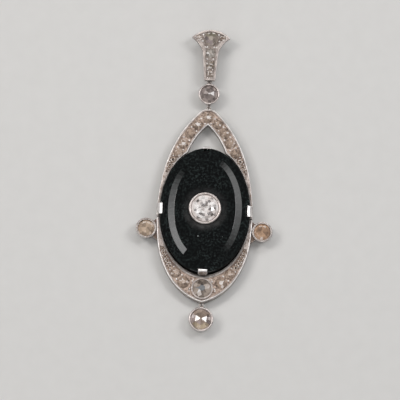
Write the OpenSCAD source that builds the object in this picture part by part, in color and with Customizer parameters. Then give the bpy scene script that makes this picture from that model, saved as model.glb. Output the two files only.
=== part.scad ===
// Onyx pendant, lying on its back, in millimetres.
// X runs across the pendant, Y toward the bail and Z up out of its face.
// The origin is under the middle of the onyx, on the surface that it rests on.

/* [Frame outline] */
// Half the width of the frame at its widest point
frame_half_w = 8.63; // [8.5:0.01:8.8]
// Height of the widest point, measured from the middle of the onyx
frame_wide_y = -1.03; // [-1.3:0.01:-0.8]
// Radius of the long curve down each flank
flank_r = 35.4; // [34:0.1:37]
// Radius of the curve that rises to the apex
shoulder_r = 21.4; // [21:0.1:22]
// Angle on the flank's curve where the shoulder starts
shoulder_a = 16.9; // [16:0.1:18]
// Radius that rounds the apex
apex_r = 2.2; // [1.8:0.1:2.6]
// Radius of the lower flank
hip_r = 16.04; // [15.8:0.01:16.3]
// Angle on the flank's curve where the lower flank starts
hip_a = -8.1; // [-9:0.1:-7]
// Radius of the two curves that meet at the toe
toe_r = 10.5; // [10.2:0.1:10.8]
// Angle on the lower flank where the toe's curve starts
toe_a = -31; // [-33:0.5:-29]

/* [Pierced plate] */
// Height of the rims above the resting surface
plate_top = 2.4; // [2.3:0.05:2.5]
// Thickness of the plate
plate_t = 1.6; // [1.5:0.05:1.7]
// Width of the polished rims beside the set stones
rim_w = 0.34; // [0.28:0.01:0.4]
// Depth of the set field below the rims
field_d = 0.2; // [0.16:0.01:0.28]
// Half the width of the oval opening for the onyx
well_a = 8.17; // [8.14:0.01:8.2]
// Half the height of the oval opening for the onyx
well_b = 12.0; // [11.9:0.01:12.05]
// Radius of each side of the pointed opening above the onyx
lancet_r = 12.25; // [12:0.05:12.5]
// Distance of those radii's centres from the middle line
lancet_x = 8.13; // [8:0.01:8.3]
// Height of those radii's centres
lancet_y = 6.9; // [6.8:0.05:7]

/* [Onyx] */
// Half the width of the onyx at its girdle
onyx_a = 8.06; // [8:0.01:8.08]
// Half the height of the onyx at its girdle
onyx_b = 11.46; // [11.4:0.01:11.5]
// Height of the underside of the onyx
onyx_z0 = 0.85; // [0.82:0.01:0.9]
// Height of the girdle's upper edge
girdle_z = 3.5; // [3.4:0.05:3.6]
// Width of the outer bevel
bevel_1 = 1.38; // [1.3:0.01:1.45]
// Rise of the outer bevel
bevel_1_h = 0.72; // [0.65:0.01:0.8]
// Width of the inner bevel
bevel_2 = 1.16; // [1.1:0.01:1.2]
// Rise of the inner bevel
bevel_2_h = 0.46; // [0.4:0.01:0.5]
// Radius of the shallow dish round the middle collet
dish_r = 3.6; // [3.4:0.1:3.8]
// Depth of that dish
dish_d = 0.12; // [0.08:0.01:0.15]

/* [Claws] */
// Width of the two claws at the sides
side_claw_w = 2.0; // [1.8:0.1:2.2]
// Width of the bottom claw's tip
low_claw_w = 1.64; // [1.5:0.02:1.8]
// Width of the stem under that tip
low_stem_w = 1.3; // [1.2:0.05:1.4]
// Distance between the balls at the ends of the top claw
top_claw_w = 1.14; // [1:0.02:1.2]
// Reach of the side claws' tips from their stems, toward the onyx
side_claw_reach = 0.5; // [0.45:0.05:0.6]
// Reach of the bottom claw's tip
low_claw_reach = 0.55; // [0.4:0.05:0.6]
// Thickness of a claw's tip
claw_t = 0.2; // [0.15:0.05:0.25]
// Radius of the balls at the ends of the top claw
claw_ball_r = 0.2; // [0.16:0.01:0.24]
// Width of the gaps filed into the side wires beside their claws
claw_notch_w = 0.2; // [0.15:0.05:0.3]

/* [Middle collet] */
// Outer radius of the rim
mid_rim_r = 2.9; // [2.85:0.01:2.95]
// Height of the rim above the resting surface
mid_rim_z = 5.35; // [5.3:0.05:5.4]
// Girdle radius of the middle stone
mid_stone_r = 2.42; // [2.35:0.01:2.48]
// Radius of the post that runs through the onyx
post_r = 0.5; // [0.4:0.05:0.6]
// Radius of the riveted head on the back
rivet_r = 1.5; // [1.3:0.1:1.7]

/* [Round collets] */
// Height of the round collets' rims above the resting surface
collet_top = 2.6; // [2.55:0.05:2.65]
// Rim radius of the collet under the bail
top_collet_r = 1.89; // [1.86:0.01:1.9]
// Place of that collet's middle along the pendant
top_collet_y = 21.74; // [21.72:0.01:21.8]
// Rim radius of the hanging collet
drop_collet_r = 2.23; // [2.15:0.01:2.3]
// Place of the hanging collet's middle along the pendant
drop_collet_y = -19.88; // [-19.95:0.01:-19.8]
// Rim radius of the two flank collets
side_collet_r = 1.86; // [1.8:0.01:1.9]
// Distance of the flank collets from the middle line
side_collet_x = 10.45; // [10.4:0.01:10.5]
// Place of the flank collets along the pendant
side_collet_y = -3.4; // [-3.6:0.05:-3.2]
// Rim radius of the collet in the middle of the crescent
toe_collet_r = 1.95; // [1.9:0.01:1.98]
// Place of that collet's middle along the pendant
toe_collet_y = -14.25; // [-14.3:0.01:-14.2]

/* [Bail] */
// Place of the bail's lower edge along the pendant
bail_y0 = 24.18; // [24.1:0.01:24.3]
// Place of the top of its fan
bail_y1 = 33.5; // [33.4:0.01:33.6]
// Half the width of the lower edge
bail_foot_w = 0.96; // [0.9:0.01:1]
// Half the width of the neck
bail_neck_w = 1.28; // [1.22:0.01:1.32]
// Place where the stem starts to flare
bail_neck_y = 28.3; // [28.2:0.05:28.4]
// Radius of the flare
bail_flare_r = 4.2; // [4.1:0.05:4.4]
// Angle from the stem that the flare reaches
bail_flare_a = 50; // [48:0.5:51]
// Radius of the fan's top edge
bail_crown_r = 4.76; // [4.6:0.01:4.9]
// Height of the front plate's face
bail_top = 3.2; // [3.15:0.05:3.25]
// Thickness of the front plate
bail_plate_t = 0.75; // [0.7:0.05:0.8]
// Thickness of the back strap
bail_strap_t = 0.5; // [0.45:0.05:0.55]

/* [Links] */
// Radius of the wire of the jump rings
ring_wire_r = 0.1; // [0.08:0.01:0.11]
// Inner radius of the soldered eyes
eye_r = 0.24; // [0.22:0.01:0.25]
// Width of the eyes' wire
eye_w = 0.22; // [0.2:0.01:0.23]
// Height of the eyes' middle above the resting surface
eye_z = 1.0; // [0.95:0.01:1.05]

/* [Hidden] */
$fn = 48;

METAL = "#c9c0bc";
STONE = "#b5a698";
BLACK = "#17191a";

// Gap between a stone and the metal that holds it
fit = 0.04;
// A little extra reach so that cuts run clean through a face
eps = 0.05;
// Share of a stone's radius that its bearing and the hole behind it keep open
bearing = 0.62;
// Rim widths of the round collets
top_rim_w = 0.3;
drop_rim_w = 0.38;
side_rim_w = 0.33;
toe_rim_w = 0.24;
// Depth of the cups that take the flat-backed stones
cup_d = 0.55;
// Radius of the hanging cups' narrow feet, and of the flank cups'
cup_foot_r = 0.7;
side_foot_r = 1.0;
// How far an eye's middle stands off the metal that it is soldered to
eye_out = 0.25;
drop_eye_out = 0.32;
// The middle collet narrows to a waist at the table and a foot inside the onyx
mid_waist_r = 2.3;
mid_foot_r = 1.5;
mid_foot_z = 3.3;
// Depth of the bail's set field, and the width of its rims beside the stem and the crown
bail_field_d = 0.2;
bail_rim_w = 0.35;
// Width of the rims along the flare, and the angle from which the field's edge follows it
bail_flare_w = 0.65;
bail_field_a = 20;
// The bail's strap leaves the plate this far behind the lower edge and slopes this much more
strap_in = 0.12;
strap_slope = 0.63;
// How far the gallery ring reaches out of the well's oval and into it, at its sides and ends
gallery_out = [0.3, 0.05];
gallery_in = [1.1, 1.4];
// Gap between a claw and the girdle beside it or under its tip
claw_gap = 0.1;
// Thickness of the claws' stems at the sides, the bottom and the top
side_claw_t = 0.36;
low_claw_t = 0.3;
top_claw_t = 0.2;
// Reach of the top claw's tip, and the bar between its balls
top_claw_reach = 0.15;
claw_bar_r = 0.1;
claw_bar_x = -0.2;
// Lower end of the gaps beside the side claws
claw_notch_z = 1.2;
// Height and thickness of the webs beside the flank collets
web_z = 1.3;
web_t = 0.7;
// Rise of the crescent's middle collet above the rims
toe_rise = 0.3;
// Heights of the rose cuts above their flat backs
top_stone_h = 0.95;
drop_stone_h = 1.05;
side_stone_h = 0.9;
// Place of the middle stone's girdle below the rim, and the heights of its crown and pavilion
mid_girdle_d = 0.22;
mid_crown = 0.62;
mid_pavilion = 1.3;

// Levels that follow from the sizes above
plate_z0 = plate_top - plate_t;
field_z = plate_top - field_d;
bail_z0 = bail_top - bail_plate_t;
bail_field_z = bail_top - bail_field_d;
table_z = girdle_z + bevel_1_h + bevel_2_h;

// Each arc of the outline leaves the one before it without a corner, so its centre lies
// on their shared radius. The centres are those of the right-hand side.
function dir(a) = [cos(a), sin(a)];
flank_c = [frame_half_w - flank_r, frame_wide_y];
shoulder_c = flank_c + (flank_r - shoulder_r) * dir(shoulder_a);
hip_c = flank_c + (flank_r - hip_r) * dir(hip_a);
toe_c = hip_c + (hip_r - toe_r) * dir(toe_a);
apex_c = [0, shoulder_c.y + sqrt(pow(shoulder_r - apex_r, 2) - pow(shoulder_c.x, 2))];
apex_a = atan2(apex_c.y - shoulder_c.y, -shoulder_c.x);
apex_y = apex_c.y + apex_r;
toe_y = toe_c.y - sqrt(pow(toe_r, 2) - pow(toe_c.x, 2));

function arc(c, r, a0, a1, n) = [for (i = [0 : n]) c + r * dir(a0 + (a1 - a0) * i / n)];
function flip(points) = [for (i = [len(points) - 1 : -1 : 0]) [-points[i].x, points[i].y]];
function both(points) = concat(points, flip(points));

// Right-hand side of the frame's outline from the apex down, drawn in by a width w
function outline_side(w) = concat(
    arc(apex_c, apex_r - w, 90, apex_a, 5),
    arc(shoulder_c, shoulder_r - w, apex_a, shoulder_a, 14),
    arc(flank_c, flank_r - w, shoulder_a, hip_a, 16),
    arc(hip_c, hip_r - w, hip_a, toe_a, 9),
    arc(toe_c, toe_r - w, toe_a, -acos(-toe_c.x / (toe_r - w)), 11)
);

// Oval opening and pointed opening, grown by a width w
function oval(a, b, n = 72) = [for (i = [0 : n - 1]) [a * cos(360 * i / n), b * sin(360 * i / n)]];
function lancet_h(w) = sqrt(pow(lancet_r + w, 2) - pow(lancet_x, 2));
function lancet_side(w) =
    arc([-lancet_x, lancet_y], lancet_r + w, atan2(lancet_h(w), lancet_x), 8, 12);

// Distances from the middle line to the plate's edges at height y
function on_arc(c, r, y) = c.x + sqrt(pow(r, 2) - pow(y - c.y, 2));
function on_well(y) = abs(y) < well_b ? well_a * sqrt(1 - pow(y / well_b, 2)) : 0;
function on_lancet(y) =
    abs(y - lancet_y) < lancet_h(0) ? on_arc([-lancet_x, lancet_y], lancet_r, y) : 0;

// Arch stones run down the middle of the plate
function arch_x(y) = (on_arc(shoulder_c, shoulder_r, y) + max(on_well(y), on_lancet(y))) / 2;
// Crescent stones run nearer to its outer edge, because the inner one has a broad bevel
outer_share = 0.58;
function crescent_x(y) =
    on_well(y) + outer_share * (on_arc(hip_c, hip_r, y) - on_well(y));

// Arch stones: side of the middle line, height, radius
ARCH_STONES = [
    [0, 17.42, 0.90],
    [-1, 16.05, 0.90],
    [-1, 14.40, 0.90],
    [-1, 12.40, 0.86],
    [-1, 10.72, 0.80],
    [1, 16.20, 0.84],
    [1, 14.55, 0.88],
    [1, 12.72, 0.92],
    [1, 10.85, 0.78]
];
// Smallest arch stones on both sides: height, radius
ARCH_MELEE = [
    [9.40, 0.50],
    [8.42, 0.40],
    [7.62, 0.30]
];
// Crescent stones: distance from the middle line, height, radius
CRESCENT_STONES = [
    [-4.87, -11.40, 0.92],
    [-3.40, -13.12, 1.06],
    [3.40, -13.12, 1.06],
    [4.87, -11.40, 0.92]
];
// Smallest crescent stones on both sides: height, radius
CRESCENT_MELEE = [
    [-10.20, 0.42],
    [-9.40, 0.38],
    [-8.60, 0.36],
    [-7.85, 0.33],
    [-7.15, 0.30]
];
// Bail stones: distance from the middle line, height, radius
BAIL_STONES = [
    [0, 31.88, 1.28],
    [-2.12, 32.08, 0.50],
    [2.12, 32.08, 0.50],
    [0, 29.16, 0.84],
    [0, 27.08, 0.78],
    [0, 25.38, 0.62]
];
// The part of the plate beside the onyx that stays a plain wire
wire_y0 = -6.7;
wire_y1 = 7.0;

// Closed ring of points of radius r at height z, and the facets between two such rings
function ring(r, z, n, a0 = 0) = [for (k = [0 : n - 1]) concat(r * dir(a0 + k * 360 / n), [z])];
function band(low, high, n) =
    [for (k = [0 : n - 1]) [high + k, high + (k + 1) % n, low + (k + 1) % n, low + k]];

// Old brilliant: table, stars, kites and two girdle facets a kite, and mains below
module brilliant(r, crown, pavilion, table = 0.52, girdle = 0.05, n = 8) {
    half = 180 / n;
    top = girdle * r / 2;
    kite_r = 0.79;
    main_r = 0.45;
    kite_z = top + crown * (1 - (kite_r * cos(half) - table) / (1 - table));
    main_z = -top - pavilion * (1 - main_r * cos(half));
    // Rows of points start at these numbers
    k0 = n;
    g0 = 2 * n;
    h0 = 4 * n;
    p0 = 6 * n;
    culet = 7 * n;
    polyhedron(
        points = concat(
            ring(table * r, top + crown, n),
            ring(kite_r * r, kite_z, n, half),
            ring(r, top, 2 * n),
            ring(r, -top, 2 * n),
            ring(main_r * r, main_z, n, half),
            [[0, 0, -top - pavilion]]
        ),
        faces = concat(
            [[for (k = [n - 1 : -1 : 0]) k]],
            [for (k = [0 : n - 1]) [k, (k + 1) % n, k0 + k]],
            [for (k = [0 : n - 1]) [k, k0 + k, g0 + 2 * k]],
            [for (k = [0 : n - 1]) [k, g0 + 2 * k, k0 + (k + n - 1) % n]],
            [for (k = [0 : n - 1]) [k0 + k, g0 + 2 * k + 1, g0 + 2 * k]],
            [for (k = [0 : n - 1]) [k0 + k, g0 + (2 * k + 2) % (2 * n), g0 + 2 * k + 1]],
            band(h0, g0, 2 * n),
            [for (k = [0 : n - 1]) [p0 + k, h0 + 2 * k, h0 + 2 * k + 1]],
            [for (k = [0 : n - 1]) [p0 + k, h0 + 2 * k + 1, h0 + (2 * k + 2) % (2 * n)]],
            [for (k = [0 : n - 1]) [culet, h0 + 2 * k, p0 + k]],
            [for (k = [0 : n - 1]) [culet, p0 + (k + n - 1) % n, h0 + 2 * k]]
        )
    );
}

// Rose cut: small table, a star of n facets round it, a skirt of three a star, flat back
module rose(r, h, turn, n) {
    edge = 0.16 * r;
    star_z = edge + 0.66 * (h - edge);
    s0 = n;
    g0 = 2 * n;
    h0 = 4 * n;
    rotate(turn) polyhedron(
        points = concat(
            ring(0.1 * r, h, n),
            ring(0.64 * r, star_z, n),
            ring(r, edge, 2 * n),
            ring(r, 0, 2 * n)
        ),
        faces = concat(
            [[for (k = [n - 1 : -1 : 0]) k]],
            band(s0, 0, n),
            [for (k = [0 : n - 1]) [s0 + k, g0 + 2 * k + 1, g0 + 2 * k]],
            [for (k = [0 : n - 1]) [s0 + k, s0 + (k + 1) % n, g0 + 2 * k + 1]],
            [for (k = [0 : n - 1])
                [s0 + (k + 1) % n, g0 + (2 * k + 2) % (2 * n), g0 + 2 * k + 1]],
            band(h0, g0, 2 * n),
            [[for (k = [0 : 2 * n - 1]) h0 + k]]
        )
    );
}

// Single cut for the smallest stones: table, eight crown facets, eight below
module single_cut(r, n = 8) {
    top = 0.06 * r;
    polyhedron(
        points = concat(
            ring(0.55 * r, top + 0.3 * r, n),
            ring(r, top, n),
            ring(r, -top, n),
            [[0, 0, -top - 0.7 * r]]
        ),
        faces = concat(
            [[for (k = [n - 1 : -1 : 0]) k]],
            band(n, 0, n),
            band(2 * n, n, n),
            [for (k = [0 : n - 1]) [3 * n, 2 * n + k, 2 * n + (k + 1) % n]]
        )
    );
}

// Small brilliant with its girdle a little above the level z of its field
module small_stone(r, z) color(STONE)
    translate([0, 0, z + 0.12 * r]) brilliant(r, crown = 0.34 * r, pavilion = 0.62 * r);

// Seat cut for a small brilliant: a bearing cone under the field and a hole through the back
module seat(r, z, through) {
    bearing_h = 0.5 * r;
    translate([0, 0, z]) cylinder(r = r + fit, h = 1);
    translate([0, 0, z - bearing_h]) cylinder(r1 = bearing * r, r2 = r + fit, h = bearing_h);
    translate([0, 0, z - through]) cylinder(r = bearing * r, h = through);
}

// Solid cup that a flat-backed stone drops into
module cup(rim_r, foot_r, rim_w) {
    round = 0.08;
    rotate_extrude() polygon([
        [0, 0],
        [foot_r, 0],
        [rim_r - round, collet_top - 0.45],
        [rim_r, collet_top - 0.35],
        [rim_r, collet_top - round],
        [rim_r - round, collet_top],
        [rim_r - rim_w + eps, collet_top],
        [rim_r - rim_w, collet_top - eps],
        [rim_r - rim_w, collet_top - cup_d],
        [0, collet_top - cup_d]
    ]);
}
module cup_stone(rim_r, rim_w, h, turn, n = 8) color(STONE)
    translate([0, 0, collet_top - cup_d + fit]) rose(rim_r - rim_w - fit, h, turn, n);
// Radius of a hanging cup's wall at the height of its eye
function cup_wall(rim_r) =
    cup_foot_r + (rim_r - 0.08 - cup_foot_r) * eye_z / (collet_top - 0.45);

// Flat wire eye lying level, with its middle at the origin
module eye() {
    translate([0, 0, -eye_w / 2]) difference() {
        cylinder(r = eye_r + eye_w, h = eye_w);
        translate([0, 0, -eps]) cylinder(r = eye_r, h = eye_w + 2 * eps);
    }
}

// Claw that stands outside the onyx's girdle, there X = 0, and bends over it toward -X. Its
// foot grows from the gallery ring, and its stem may be narrower than its tip.
claw_over = girdle_z + claw_gap;
claw_tip_z = claw_over + 0.3;
module upright(w) rotate([90, 0, 0]) translate([0, 0, -w / 2]) linear_extrude(w) children();
module claw(tip_w, stem_w, thick, reach) {
    upright(stem_w) polygon([
        [0, onyx_z0 / 2],
        [thick, onyx_z0 / 2],
        [thick, claw_over - 0.1],
        [thick - 0.1, claw_over + 0.05],
        [0.05, claw_over + 0.05],
        [0, claw_over]
    ]);
    upright(tip_w) polygon([
        [0, claw_over],
        [thick, claw_over - 0.1],
        [thick - 0.14, claw_over + claw_t],
        [-0.1, claw_tip_z + 0.6 * claw_t],
        [-reach, claw_tip_z + claw_t],
        [-reach, claw_tip_z]
    ]);
}
// Thin bar along the edge of the top claw's tip, with its ends melted into balls
module claw_bar() translate([claw_bar_x, 0, claw_tip_z + claw_t / 2]) {
    rotate([90, 0, 0]) cylinder(r = claw_bar_r, h = top_claw_w, center = true, $fn = 16);
    for (s = [-1, 1])
        translate([0, s * top_claw_w / 2, 0]) sphere(r = claw_ball_r, $fn = 20);
}

// Gaps that part the side wires from their claws, down to the plate's lower half
module claw_notches() {
    half = [frame_half_w + 1, side_claw_w / 2 + eps];
    for (s = [-1, 1])
        translate([-half.x, s > 0 ? half.y : -half.y - claw_notch_w, claw_notch_z])
            cube([2 * half.x, claw_notch_w, plate_top]);
}

// Outlines of the set fields: everything between the rims, but for the plain side wires
module fields() {
    difference() {
        translate([0, 0, field_z]) linear_extrude(1) polygon(both(outline_side(rim_w)));
        translate([0, 0, field_z - 1]) {
            linear_extrude(3) polygon(oval(well_a + rim_w, well_b + rim_w));
            linear_extrude(3) polygon(both(lancet_side(rim_w)));
            translate([-frame_half_w - 1, wire_y0, 0])
                cube([2 * frame_half_w + 2, wire_y1 - wire_y0, 3]);
        }
    }
}

module flank_collets() {
    for (s = [-1, 1]) {
        translate([s * side_collet_x, side_collet_y, 0])
            cup(side_collet_r, side_foot_r, side_rim_w);
        // Web that ties the collet to the plate
        translate([0, side_collet_y, web_z]) linear_extrude(web_t) polygon([
            [s * 8.2, 2.5],
            [s * 9.0, 1.6],
            [s * 9.9, 0.8],
            [s * 9.9, -0.8],
            [s * 9.0, -1.6],
            [s * 8.0, -2.4]
        ]);
    }
}

module frame_seats() {
    for (row = ARCH_STONES)
        translate([row[0] * arch_x(row[1]), row[1], 0]) seat(row[2], field_z, plate_t);
    for (row = CRESCENT_STONES)
        translate([row[0], row[1], 0]) seat(row[2], field_z, plate_t);
    for (s = [-1, 1]) {
        for (row = ARCH_MELEE)
            translate([s * arch_x(row[0]), row[0], 0]) seat(row[1], field_z, plate_t);
        for (row = CRESCENT_MELEE)
            translate([s * crescent_x(row[0]), row[0], 0]) seat(row[1], field_z, plate_t);
    }
    translate([0, toe_collet_y, 0]) seat(toe_collet_r - toe_rim_w - fit, plate_top, plate_t + eps);
}

module gallery_ring() {
    difference() {
        linear_extrude(onyx_z0 - fit)
            polygon(oval(well_a + gallery_out.x, well_b + gallery_out.y));
        translate([0, 0, -eps]) linear_extrude(onyx_z0 + eps)
            polygon(oval(well_a - gallery_in.x, well_b - gallery_in.y));
    }
}

module frame() color(METAL) {
    difference() {
        union() {
            difference() {
                translate([0, 0, plate_z0]) linear_extrude(plate_t)
                    polygon(both(outline_side(0)));
                fields();
            }
            translate([0, toe_collet_y, plate_z0])
                cylinder(r = toe_collet_r, h = plate_t + toe_rise);
            flank_collets();
        }
        translate([0, 0, plate_z0 - 1]) linear_extrude(4) polygon(oval(well_a, well_b));
        translate([0, 0, plate_z0 - 1]) linear_extrude(4) polygon(both(lancet_side(0)));
        frame_seats();
        claw_notches();
    }
    gallery_ring();
    for (turn = [0, 180])
        rotate(turn) translate([onyx_a + claw_gap, 0, 0])
            claw(side_claw_w, side_claw_w, side_claw_t, side_claw_reach);
    rotate(-90) translate([onyx_b + claw_gap, 0, 0])
        claw(low_claw_w, low_stem_w, low_claw_t, low_claw_reach);
    rotate(90) translate([onyx_b + claw_gap, 0, 0]) {
        claw(top_claw_w, top_claw_w, top_claw_t, top_claw_reach);
        claw_bar();
    }
    translate([0, apex_y + eye_out, eye_z]) eye();
    translate([0, toe_y - eye_out, eye_z]) eye();
}

// Oval slab with a vertical girdle, two bevels and a flat table
module slab() {
    n = 72;
    chamfer = 0.25;
    inset = bevel_1 + bevel_2;
    rows = [
        [onyx_a - chamfer, onyx_b - chamfer, onyx_z0],
        [onyx_a, onyx_b, onyx_z0 + chamfer],
        [onyx_a, onyx_b, girdle_z],
        [onyx_a - bevel_1, onyx_b - bevel_1, girdle_z + bevel_1_h],
        [onyx_a - inset, onyx_b - inset, table_z]
    ];
    polyhedron(
        points = [for (row = rows) for (p = oval(row[0], row[1], n)) [p.x, p.y, row[2]]],
        faces = concat(
            [[for (k = [0 : n - 1]) k]],
            [[for (k = [n - 1 : -1 : 0]) 4 * n + k]],
            [for (j = [0 : 3]) each band(j * n, (j + 1) * n, n)]
        )
    );
}

module onyx() color(BLACK) {
    difference() {
        slab();
        // Dish round the collet
        translate([0, 0, table_z - dish_d])
            cylinder(r1 = dish_r - 0.5, r2 = dish_r + 0.05, h = dish_d + 0.01);
        // Recess for the collet's cup and hole for its post
        translate([0, 0, mid_foot_z - fit])
            cylinder(r1 = mid_foot_r + fit, r2 = mid_waist_r + 2 * fit, h = table_z - mid_foot_z);
        cylinder(r = post_r + fit, h = table_z);
    }
}

module centre_collet() color(METAL) {
    round = 0.1;
    under = onyx_z0 - fit;
    rotate_extrude() polygon([
        [0, 0],
        [rivet_r, 0],
        [rivet_r, under / 2],
        [rivet_r - 0.3, under],
        [post_r, under],
        [post_r, mid_foot_z],
        [mid_foot_r, mid_foot_z],
        [mid_waist_r, table_z],
        [mid_rim_r - round, mid_rim_z - 0.4],
        [mid_rim_r, mid_rim_z - 0.3],
        [mid_rim_r, mid_rim_z - round],
        [mid_rim_r - round, mid_rim_z],
        [mid_stone_r + fit + eps, mid_rim_z],
        [mid_stone_r + fit, mid_rim_z - eps],
        [mid_stone_r + fit, mid_rim_z - 0.42],
        [post_r, mid_foot_z + 0.35],
        [0, mid_foot_z + 0.35]
    ]);
}

module centre_stone() color(STONE)
    translate([0, 0, mid_rim_z - mid_girdle_d])
        brilliant(mid_stone_r, mid_crown, mid_pavilion);

// Collets that hang on rings, with an eye above and, for the upper one, below
top_eye_y = top_collet_y + cup_wall(top_collet_r) + eye_out;
low_eye_y = top_collet_y - cup_wall(top_collet_r) - eye_out;
drop_eye_y = drop_collet_y + cup_wall(drop_collet_r) + drop_eye_out;

module top_collet() color(METAL) {
    translate([0, top_collet_y, 0]) cup(top_collet_r, cup_foot_r, top_rim_w);
    translate([0, top_eye_y, eye_z]) eye();
    translate([0, low_eye_y, eye_z]) eye();
}

module drop_collet() color(METAL) {
    translate([0, drop_collet_y, 0]) cup(drop_collet_r, cup_foot_r, drop_rim_w);
    // Short bridge from the cup to its eye
    translate([-eye_w / 2, drop_collet_y, eye_z - eye_w / 2])
        cube([eye_w, drop_eye_y - drop_collet_y - eye_r, eye_w]);
    translate([0, drop_eye_y, eye_z]) eye();
}

// Outline of the bail's front plate: tapering stem, concave flare and convex crown
bail_flare_c = [bail_neck_w + bail_flare_r, bail_neck_y];
bail_crown_c = [0, bail_y1 - bail_crown_r];
// Distance from a point e along d to the circle of radius r round the origin
function reach(e, d, r) = sqrt(pow(e * d, 2) - e * e + r * r) - e * d;
// Tip of the fan seen from the crown's centre: the flare runs straight on to the crown
function bail_tip(w, flare_w) =
    let (
        e = bail_flare_c + (bail_flare_r + flare_w) * dir(180 - bail_flare_a) - bail_crown_c,
        d = dir(90 - bail_flare_a)
    )
    e + reach(e, d, bail_crown_r - w) * d;
// Right-hand side of the plate, drawn in by a width w, and by flare_w from the angle a0 on
function bail_side(w, flare_w, a0) =
    let (tip = bail_tip(w, flare_w))
    concat(
        [[bail_foot_w - w, bail_y0 + w], [bail_neck_w - w, bail_neck_y]],
        arc(bail_flare_c, bail_flare_r + flare_w, 180 - a0, 180 - bail_flare_a, 7),
        arc(bail_crown_c, bail_crown_r - w, atan2(tip.y, tip.x), 90, 8)
    );
bail_outline = both(bail_side(0, 0, 2));
bail_field = both(bail_side(bail_rim_w, bail_flare_w, bail_field_a));
// The eye stands off the strap's sloping foot
bail_eye_y = bail_y0 + strap_in + strap_slope * (1 - eye_z / bail_z0) - eye_out;

// Strap bent from behind the crown, along the resting surface and up behind the lower edge
module back_strap() {
    intersection() {
        rotate([90, 0, 90]) translate([0, 0, -2]) linear_extrude(4) polygon([
            [bail_y0 + strap_in, bail_z0 + eps],
            [bail_y0 + strap_in + strap_slope, 0],
            [bail_y1 - 2.6, 0],
            [bail_y1 - 1.2, 0.7],
            [bail_y1 - 0.75, 1.7],
            [bail_y1 - 0.9, bail_z0 + eps],
            [bail_y1 - 1.5, bail_z0 + eps],
            [bail_y1 - 1.35, 1.8],
            [bail_y1 - 1.75, 1.0],
            [bail_y1 - 2.75, bail_strap_t],
            [bail_y0 + 1.35, bail_strap_t],
            [bail_y0 + 0.9, 1.2],
            [bail_y0 + 0.72, bail_z0 + eps]
        ]);
        translate([0, 0, -eps]) linear_extrude(3) polygon(both([
            [0.8, bail_y0],
            [1.15, bail_neck_y],
            [1.8, bail_y1]
        ]));
    }
}

module bail() color(METAL) {
    difference() {
        union() {
            translate([0, 0, bail_z0]) linear_extrude(bail_plate_t) polygon(bail_outline);
            back_strap();
        }
        translate([0, 0, bail_field_z]) linear_extrude(1) polygon(bail_field);
        for (row = BAIL_STONES)
            translate([row[0], row[1], 0]) seat(row[2], bail_field_z, bail_plate_t);
    }
    translate([0, bail_eye_y, eye_z]) eye();
}

module arch_stone(row)
    translate([row[0] * arch_x(row[1]), row[1], 0]) small_stone(row[2], field_z);

module arch_melee() color(STONE)
    for (s = [-1, 1]) for (row = ARCH_MELEE)
        translate([s * arch_x(row[0]), row[0], field_z + eps]) single_cut(row[1]);

module crescent_melee() color(STONE)
    for (s = [-1, 1]) for (row = CRESCENT_MELEE)
        translate([s * crescent_x(row[0]), row[0], field_z + eps]) single_cut(row[1]);

// Upright ring through two eyes whose middles lie at y0 and y1
module jump_ring(y0, y1) color(METAL)
    translate([0, (y0 + y1) / 2, eye_z]) rotate([0, 90, 0])
        rotate_extrude() translate([(y1 - y0) / 2, 0]) circle(r = ring_wire_r, $fn = 16);

frame();
onyx();
centre_collet();
centre_stone();
bail();
top_collet();
drop_collet();
translate([0, top_collet_y, 0]) cup_stone(top_collet_r, top_rim_w, top_stone_h, -21, 7);  // top_stone
translate([0, drop_collet_y, 0]) cup_stone(drop_collet_r, drop_rim_w, drop_stone_h, -33, 6);  // drop_stone
translate([-side_collet_x, side_collet_y, 0])  // side_stone_left
        cup_stone(side_collet_r, side_rim_w, side_stone_h, 0);
translate([side_collet_x, side_collet_y, 0])  // side_stone_right
        cup_stone(side_collet_r, side_rim_w, side_stone_h, 0);
for (i = [1 : len(BAIL_STONES)])
    translate([BAIL_STONES[i - 1][0], BAIL_STONES[i - 1][1], 0])
            small_stone(BAIL_STONES[i - 1][2], bail_field_z);
for (i = [1 : len(ARCH_STONES)])
    arch_stone(ARCH_STONES[i - 1]);
for (i = [1 : len(CRESCENT_STONES)])
    translate([CRESCENT_STONES[i - 1][0], CRESCENT_STONES[i - 1][1], 0])
            small_stone(CRESCENT_STONES[i - 1][2], field_z);
translate([0, toe_collet_y, 0]) small_stone(toe_collet_r - toe_rim_w - fit, plate_top);  // toe_stone
arch_melee();
crescent_melee();
jump_ring(top_eye_y, bail_eye_y);  // jump_ring_bail
jump_ring(apex_y + eye_out, low_eye_y);  // jump_ring_apex
jump_ring(drop_eye_y, toe_y - eye_out);  // jump_ring_drop
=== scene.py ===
# %% [markdown]
# # Dressing an onyx pendant
# The pendant lies on its back on a pale surface. Its metal, its onyx and its diamonds come
# from an exact CAD model, which is loaded here as a fixed frame: every node of it keeps its
# size and place. This notebook gives each of them the surface that the real piece has, piece
# by piece, and adds the small beads of metal that hold the diamonds.

# %% Load the frame
import math
import random

import bmesh
import bpy
from mathutils import Matrix, Vector


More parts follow.
